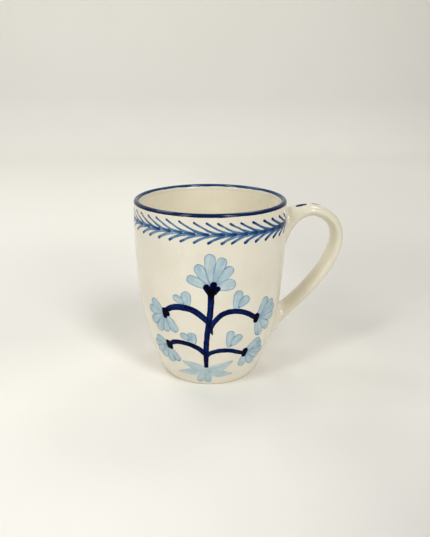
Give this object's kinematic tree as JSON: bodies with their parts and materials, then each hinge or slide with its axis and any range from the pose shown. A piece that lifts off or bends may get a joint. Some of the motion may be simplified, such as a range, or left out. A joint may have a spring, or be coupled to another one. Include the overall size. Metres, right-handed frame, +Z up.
{
  "type": "hand-painted stoneware mug",
  "caption": "Rounded cream stoneware mug with a loop handle, a cobalt rim band, a laurel border and a painted flowering branch.",
  "frame": {"origin": "on the table plane, under the middle of the cup and handle together", "axes": "+Z up through the mouth, +X out along the handle, +Y square to the handle's plane; the cup's own axis stands at x = -18.1 mm"},
  "size_m": [0.1268, 0.0906, 0.1074],
  "materials": {
    "cream_glaze": "glossy clear glaze over cream stoneware",
    "glazed_slip": "glossy glaze over smoothed luting slip",
    "cobalt_band": "glossy, cobalt pooled under the glaze",
    "laurel_blue": "glossy, brushed cobalt wash",
    "navy_underglaze": "glossy, dense brushed cobalt",
    "ink_underglaze": "glossy, near-black cobalt",
    "petal_blue": "glossy, watery pale blue with darker edges",
    "pale_leaf_blue": "glossy, very thin pale blue wash"
  },
  "bodies": {
    "root": {"cup_body": "cream_glaze", "handle": "cream_glaze", "upper_slip_joint": "glazed_slip", "lower_slip_joint": "glazed_slip", "rim_band": "cobalt_band", "laurel_border": "laurel_blue", "main_stem": "navy_underglaze", "upper_left_branch": "navy_underglaze", "upper_right_branch": "navy_underglaze", "lower_left_branch": "navy_underglaze", "lower_right_branch": "navy_underglaze", "top_calyx": "ink_underglaze", "upper_left_calyx": "ink_underglaze", "upper_right_calyx": "ink_underglaze", "lower_left_calyx": "ink_underglaze", "lower_right_calyx": "ink_underglaze", "top_flower": "petal_blue", "upper_left_flower": "petal_blue", "upper_right_flower": "petal_blue", "lower_left_flower": "petal_blue", "lower_right_flower": "petal_blue", "upper_left_bud": "petal_blue", "upper_right_bud": "petal_blue", "lower_left_bud": "petal_blue", "lower_right_bud": "petal_blue", "ground_leaves": "pale_leaf_blue", "handle_dab_near": "navy_underglaze", "handle_dab_far": "navy_underglaze"}
  },
  "joints": []
}
